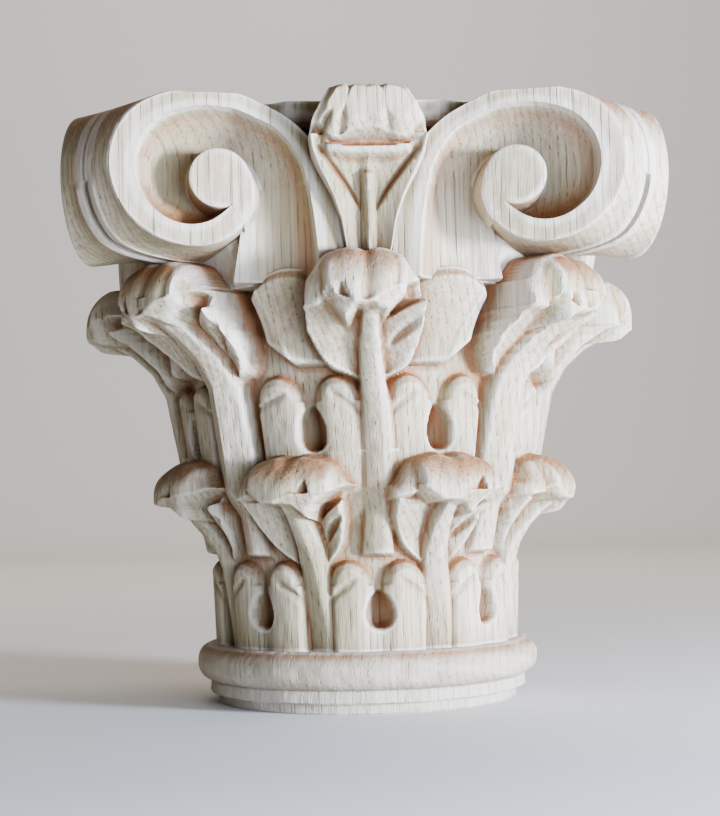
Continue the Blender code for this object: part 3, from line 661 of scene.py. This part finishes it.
def fleuron():
    """The leaf in the middle of a face: stem and blades below, a bright ledge, and a top with three lobes."""
    around, sections = 112, 96
    piece, section, place = bent_rod("fleuron_leaf", around, sections)
    share = section / sections
    back_points = 8
    front = (place - back_points / 2.0) / (around - back_points)
    u = np.clip(front * 2.0 - 1.0, -1.0, 1.0)
    on_back = (place < back_points / 2.0) | (place > around - back_points / 2.0)
    height = FLEURON_FOOT + (FLEURON_TOP - FLEURON_FOOT) * share
    half = softly_along(((0.0, 4.6), (0.14, 6.9), (0.29, 8.2), (0.43, 10.8), (0.58, 15.0), (0.65, 16.6),
                         (0.75, 17.4), (0.83, 16.2), (0.93, 13.2), (1.0, 11.2)), share, 0.015)
    x = half * u
    side = np.abs(u)

    # Below the ledge: a rounded stem between two blades that spread to bright rims with a gouge inside them
    reach = softly_along(((0.0, 75.6), (0.14, 76.8), (0.30, 78.4), (0.45, 80.4), (0.55, 82.4), (0.61, 84.6),
                          (0.70, 87.5), (0.80, 90.5), (0.90, 92.6), (1.0, 91.5)), share, 0.02)
    dish = 2.6 * side ** 1.6 - 1.6 * blend(0.0, 0.25, side) * (1.0 - side)
    bulb_half = 2.3 - 1.2 * blend(0.2, 0.0, share)
    bulb = 2.3 * np.sqrt(np.clip(1.0 - (x / bulb_half) ** 2, 0.0, 1.0)) * blend(0.575, 0.53, share)
    crease = side - 0.36 - 1.85 * (share - 0.40)
    gouge = 2.0 * hump(crease, 0.0, 0.065) * blend(0.36, 0.43, share) * blend(0.71, 0.66, share)
    inner = 1.1 * blend(0.03, -0.03, crease) * blend(0.30, 0.40, share)
    blades = reach + dish + bulb - gouge - inner - 1.2 * blend(0.95, 1.0, side)

    # The ledge, the hollow over it and the lobes
    ledge_low = 0.625 + 0.030 * side ** 2
    over_ledge = blend(ledge_low - 0.008, ledge_low + 0.008, share) * blend(0.80, 0.70, side)
    ledge_height = 0.045
    hollow_top = (0.735 + 0.035 * hump(u, 0.0, 0.3) - 0.02 * hump(side, 0.55, 0.15)
                  + 0.05 * blend(0.6, 0.9, side))
    hollow_rise = np.maximum(hollow_top - ledge_low - ledge_height, 0.01)
    in_hollow = np.clip((share - ledge_low - ledge_height) / hollow_rise, 0.0, 1.0)
    hollow = 3.6 * np.sin(math.pi * in_hollow ** 0.7) * blend(0.86, 0.66, side)
    above = blend(hollow_top - 0.004, hollow_top + 0.012, share)
    lobes = 1.7 * hump(u, -0.46, 0.07) + 1.3 * hump(u, 0.32, 0.08) + 0.5 * hump(u, 0.0, 0.14)
    upper = reach + 2.6 * over_ledge * (1.0 - above) - hollow + above * (2.2 - lobes)
    upper = upper - 3.4 * blend(0.55, 1.0, side) ** 1.5 - 1.4 * blend(0.975, 1.0, share)
    horn = (2.2 * hump(u, -0.78 + 0.8 * (share - 0.75), 0.06) * blend(0.66, 0.72, share)
            * blend(0.88, 0.82, share))
    depth = np.where(share < ledge_low, blades, np.maximum(upper, blades * (share < 0.74)) - horn)
    depth = np.minimum(depth, FLEURON_REACH)
    depth = np.where(on_back, WALL_DEPTH - 10.0, depth)
    x = np.where(on_back, half * np.where(place < around / 2.0, -1.0, 1.0), x)
    set_places(piece.data, np.column_stack((x, -depth, height)))
    set_places(piece.data, rubbed_smooth(piece.data, get_places(piece.data), 1))
    return piece


def fleurons():
    """A fleuron on each face."""
    return repeat_round("fleurons", (fleuron,), FACE_COUNT, False)


def abacus_block():
    """The block behind the volutes: hollow sides and cut corners, narrower below."""
    side_steps, rows = 72, 54
    around = 4 * (side_steps + 1)
    piece, section, place = bent_rod("abacus_block", around, rows)
    share = section / rows
    quarter = place // (side_steps + 1)
    step = place % (side_steps + 1)
    half_side = along(((0.0, 36.0), (0.5, 49.0), (1.0, 58.0)), share)
    across = half_side * (2.0 * step / side_steps - 1.0)
    ripple = 0.15 * np.sin(across * 1.1) * np.cos(share * 9.0)
    depth = WALL_DEPTH + WALL_BOW * (across / WALL_DEPTH) ** 2 + ripple
    depth = depth + 4.2 * blend(11.0, 7.0, np.abs(across)) * blend(0.66, 0.45, share)
    # Nearly level with the volutes above them, set back below them
    depth = depth + 3.5 * blend(0.87, 0.92, share) * blend(30.0, 22.0, np.abs(across))
    depth = depth - 6.0 * blend(0.40, 0.20, share) * blend(12.0, 18.0, np.abs(across))
    # Set back behind the floor of the volutes' channels
    behind = face_depth(np.abs(across)) - CHANNEL_DEPTH - 1.5
    depth = np.where((np.abs(across) > 11.0) & (share < 0.87), np.minimum(depth, behind), depth)
    turn = np.radians(FACE_STEP) * quarter
    height = ABACUS_FOOT + (TOTAL_HEIGHT - ABACUS_FOOT) * share
    set_places(piece.data, np.column_stack((across * np.cos(turn) + depth * np.sin(turn),
                                            across * np.sin(turn) - depth * np.cos(turn), height)))
    return piece


def add_node(tree, kind, settings=None, inputs=None):
    """Node with its settings and what its inputs hold or are linked to."""
    node = tree.nodes.new(kind)
    for name, value in (settings or {}).items():
        setattr(node, name, value)
    for name, value in (inputs or {}).items():
        socket = node.inputs[name]
        if isinstance(value, bpy.types.NodeSocket):
            tree.links.new(value, socket)
        else:
            socket.default_value = value
    return node


def raw_oak():
    """European oak, chisel cut and left raw: pale heartwood with dark open pores in lines about 2 mm
    apart, darker end grain on the tops that is partly painted shade, orange-brown dust with painted shade in
    the hollows, painted grey-green shade in the recesses and painted highlights on the edges."""
    material = bpy.data.materials.new("raw_oak")
    material.use_nodes = True
    tree = material.node_tree
    shader = tree.nodes["Principled BSDF"]

    def add(kind, settings=None, inputs=None):
        return add_node(tree, kind, settings, inputs)

    def value(operation, first, second=0.0, clamp=False):
        node = add("ShaderNodeMath", {"operation": operation, "use_clamp": clamp}, {0: first, 1: second})
        return node.outputs[0]

    def mixed(factor, first, second):
        node = add("ShaderNodeMix", {"data_type": 'RGBA'}, {0: factor, 6: first, 7: second})
        return node.outputs[2]

    def noise(vector, detail, rough=0.5):
        return add("ShaderNodeTexNoise", {}, {"Vector": vector, "Scale": 1.0, "Detail": detail,
                                              "Roughness": rough}).outputs["Fac"]

    def stretched(scale):
        return add("ShaderNodeMapping", {}, {"Vector": place, "Scale": scale}).outputs[0]

    def ramp(factor, low, high):
        node = add("ShaderNodeMapRange", {}, {"Value": factor, "From Min": low, "From Max": high})
        return node.outputs["Result"]

    place = add("ShaderNodeTexCoord").outputs["Object"]

    # Growth rings about 2.1 mm apart around a pith that lies left of the block
    pith = add("ShaderNodeVectorMath", {"operation": 'SUBTRACT'}, {0: place, 1: PITH_PLACE}).outputs[0]
    flat = add("ShaderNodeVectorMath", {"operation": 'MULTIPLY'}, {0: pith, 1: (1.0, 1.0, 0.0)}).outputs[0]
    reach = add("ShaderNodeVectorMath", {"operation": 'LENGTH'}, {0: flat}).outputs["Value"]
    wander = value('MULTIPLY', noise(stretched((22.0, 22.0, 6.0)), 2.0), 0.012)
    ring = value('FRACT', value('MULTIPLY', value('ADD', reach, wander), 1.0 / RING_SPACING))
    early = value('MULTIPLY', ramp(ring, 0.40, 0.10), ramp(ring, 0.0, 0.06))

    # Open pores: streaks 0.3 mm wide and many millimetres long, thick in the early wood
    pores = ramp(noise(stretched((2300.0, 2300.0, 34.0)), 2.0), 0.52, 0.66)
    pores = value('MULTIPLY', pores, value('ADD', value('MULTIPLY', early, 0.9), 0.16), True)
    streak = noise(stretched((800.0, 800.0, 11.0)), 3.0, 0.6)

    # Tone of the wood over the block, from greyish green to cream with pink patches
    tone = add("ShaderNodeValToRGB", {}, {"Fac": noise(stretched((34.0, 34.0, 14.0)), 3.0)})
    tone.color_ramp.elements[0].position = 0.36
    tone.color_ramp.elements[0].color = colour("#a69b76")
    tone.color_ramp.elements[1].position = 0.64
    tone.color_ramp.elements[1].color = colour("#cdbea2")
    pink = ramp(noise(stretched((55.0, 55.0, 26.0)), 2.0), 0.50, 0.70)
    wood = mixed(value('MULTIPLY', pink, 0.40), tone.outputs["Color"], colour("#cba686"))
    wood = mixed(value('MULTIPLY', ramp(streak, 0.44, 0.70), 0.55), wood, colour("#8a7350"))
    wood = mixed(value('MULTIPLY', early, 0.20), wood, colour("#80694a"))

    # End grain is darker and speckled; only surfaces that face up get it, so the darkening is also painted
    # shade on the tops
    normal = add("ShaderNodeNewGeometry").outputs["Normal"]
    facing = add("ShaderNodeSeparateXYZ", {}, {0: normal}).outputs["Z"]
    speckle = ramp(noise(stretched((1500.0, 1500.0, 900.0)), 1.0), 0.42, 0.62)
    speckled = value('ADD', value('MULTIPLY', speckle, 0.40), 0.45)
    end_grain_and_top_shade = value('MULTIPLY', ramp(facing, 0.15, 0.70), speckled)
    wood = mixed(end_grain_and_top_shade, wood, colour("#8a683e"))
    wood = mixed(value('MULTIPLY', pores, 0.66), wood, colour("#59422e"))

    # Painted grey-green shade in the recesses, orange-brown dust and painted shade in the tight corners and
    # on ledges
    hollow = add("ShaderNodeAttribute", {"attribute_name": "hollow"}).outputs["Fac"]
    patch = noise(stretched((150.0, 150.0, 90.0)), 3.0)
    shade = add("ShaderNodeAmbientOcclusion", {"samples": 4}, {"Distance": 0.011}).outputs["AO"]
    # Painted shade: grey-green where ambient occlusion finds a recess
    recess = ramp(shade, 0.90, 0.42)
    wood = mixed(value('MULTIPLY', recess, 0.74), wood, colour("#5c563b"))
    # Orange-brown in tight corners found by ambient occlusion and on up-facing ledges: partly dust, partly
    # painted shade
    closed = value('MULTIPLY', ramp(shade, 0.58, 0.22), ramp(patch, 0.30, 0.58))
    ledge = value('MULTIPLY', value('MULTIPLY', ramp(facing, 0.2, 0.8), ramp(patch, 0.28, 0.52)), 0.80)
    tight = value('MULTIPLY', ramp(hollow, 0.12, 0.45), 0.60)
    dust_and_shade = value('ADD', value('ADD', tight, value('MULTIPLY', closed, 0.75)), ledge, True)
    wood = mixed(value('MULTIPLY', dust_and_shade, 0.82), wood, colour("#8b4f22"))
    # Painted highlight: a paler colour on the convex edges
    wood = mixed(value('MULTIPLY', ramp(hollow, -0.16, -0.6), 0.45), wood, colour("#e2d8c6"))

    # The turned ring is greyer, with small stains
    height = add("ShaderNodeSeparateXYZ", {}, {0: place}).outputs["Z"]
    on_ring = ramp(height, 0.0185, 0.0165)
    stain = ramp(noise(stretched((95.0, 95.0, 60.0)), 4.0, 0.65), 0.52, 0.72)
    wood = mixed(value('MULTIPLY', on_ring, 0.55), wood, colour("#b3a894"))
    wood = mixed(value('MULTIPLY', value('MULTIPLY', on_ring, stain), 0.45), wood, colour("#7d6a52"))
    tree.links.new(wood, shader.inputs["Base Color"])

    # Fuzz, pores, torn fibre in streaks and shallow tool marks as fine relief
    fuzz = noise(stretched((1800.0, 1800.0, 420.0)), 2.0)
    torn = noise(stretched((900.0, 900.0, 200.0)), 2.0)
    facets = add("ShaderNodeTexVoronoi", {"feature": 'SMOOTH_F1'},
                 {"Vector": stretched((260.0, 260.0, 150.0)), "Scale": 1.0, "Smoothness": 0.4})
    relief = value('ADD', value('MULTIPLY', fuzz, 0.00012), value('MULTIPLY', pores, -0.00028))
    torn_deep = value('MULTIPLY', torn, value('ADD', recess, 0.35))
    relief = value('ADD', relief, value('MULTIPLY', torn_deep, 0.00028))
    relief = value('ADD', relief, value('MULTIPLY', facets.outputs["Distance"], 0.00050))
    bump = add("ShaderNodeBump", {}, {"Height": relief, "Distance": 1.0, "Strength": 0.9})
    tree.links.new(bump.outputs["Normal"], shader.inputs["Normal"])
    rough = add("ShaderNodeMapRange", {}, {"Value": streak, "To Min": 0.62, "To Max": 0.82})
    tree.links.new(rough.outputs["Result"], shader.inputs["Roughness"])
    shader.inputs["Specular IOR Level"].default_value = 0.35
    return material


def plain_material(name, code):
    """Matt paper of one colour, for the floor."""
    material = bpy.data.materials.new(name)
    material.use_nodes = True
    shader = material.node_tree.nodes["Principled BSDF"]
    shader.inputs["Base Color"].default_value = colour(code)
    shader.inputs["Roughness"].default_value = 0.9
    return material


def pale_floor():
    """Floor that curves up behind the capital."""
    shape = bmesh.new()
    radius = 0.6
    line = [(-2.5, 0.0)]
    for step in range(17):
        turn = math.radians(90.0 * step / 16.0)
        line.append((1.6 + radius * math.sin(turn), radius - radius * math.cos(turn)))
    line.append((2.2, 4.0))
    points = [shape.verts.new((-4.0, y, z)) for y, z in line]
    edges = [shape.edges.new(pair) for pair in zip(points, points[1:])]
    made = bmesh.ops.extrude_edge_only(shape, edges=edges)
    fresh = [item for item in made["geom"] if isinstance(item, bmesh.types.BMVert)]
    bmesh.ops.translate(shape, verts=fresh, vec=(8.0, 0.0, 0.0))
    mesh = bpy.data.meshes.new("pale_floor")
    shape.to_mesh(mesh)
    shape.free()
    mesh.shade_smooth()
    floor = bpy.data.objects.new("pale_floor", mesh)
    bpy.context.scene.collection.objects.link(floor)
    mesh.materials.append(plain_material("pale_paper", "#e4e2de"))


def area_light(name, place, target, size, power, code):
    """Soft light of a given size, turned to a target."""
    data = bpy.data.lights.new(name, 'AREA')
    data.shape = 'SQUARE'
    data.size = size
    data.energy = power
    data.color = colour(code)[:3]
    light = bpy.data.objects.new(name, data)
    bpy.context.scene.collection.objects.link(light)
    light.location = place
    aim = [end - start for start, end in zip(place, target)]
    turn = math.atan2(aim[0], -aim[1])
    tilt = math.atan2(math.hypot(aim[0], aim[1]), -aim[2])
    light.rotation_euler = (tilt, 0.0, turn + math.pi)


def studio_lights():
    """Cool soft light from the low right front and from the floor before the capital, a pale warm room."""
    middle = (0.0, 0.0, 0.1)
    area_light("key_light", (0.60, -0.46, 0.09), middle, 0.14, 36.0, "#d6e3ff")
    area_light("floor_bounce", (0.16, -0.44, 0.006), (0.0, 0.0, 0.13), 0.24, 5.5, "#c9dcff")
    area_light("backdrop_light", (0.0, 0.7, 1.5), (0.0, 1.9, 0.2), 1.2, 26.0, "#fff4e8")
    world = bpy.data.worlds.new("pale_room")
    bpy.context.scene.world = world
    world.use_nodes = True
    background = world.node_tree.nodes["Background"]
    background.inputs["Color"].default_value = colour("#efe6cc")
    background.inputs["Strength"].default_value = 0.11


# Camera for the photograph's frame of 720 x 816 pixels, with its pitch and yaw given
FRAME_LONG_SIDE = 816.0
FOCAL_PIXELS = 1540.0
CAMERA_DISTANCE = 0.524
CAMERA_HEIGHT = 0.064
CAMERA_AZIMUTH = -2.5
CAMERA_PITCH = 3.6
CAMERA_YAW = 0.05
CAMERA_ROLL = -1.3


def photo_camera():
    """Camera at the photograph's place."""
    data = bpy.data.cameras.new("photo_camera")
    data.sensor_width = 36.0
    data.lens = FOCAL_PIXELS / FRAME_LONG_SIDE * data.sensor_width
    data.clip_start = 0.01
    data.clip_end = 20.0
    camera = bpy.data.objects.new("photo_camera", data)
    bpy.context.scene.collection.objects.link(camera)
    turn = math.radians(CAMERA_AZIMUTH)
    camera.location = (CAMERA_DISTANCE * math.sin(turn), -CAMERA_DISTANCE * math.cos(turn), CAMERA_HEIGHT)
    heading = Matrix.Rotation(turn + math.radians(CAMERA_YAW), 3, 'Z')
    lift = Matrix.Rotation(math.radians(90.0 + CAMERA_PITCH), 3, 'X')
    roll = Matrix.Rotation(math.radians(CAMERA_ROLL), 3, 'Z')
    camera.rotation_euler = (heading @ lift @ roll).to_euler()
    bpy.context.scene.camera = camera


photo_camera()
oak = raw_oak()
for made in (turned_ring(), lower_leaves(), upper_leaves(), abacus_block(), volutes(), fleurons()):
    finish_piece(made, oak)
pale_floor()
studio_lights()
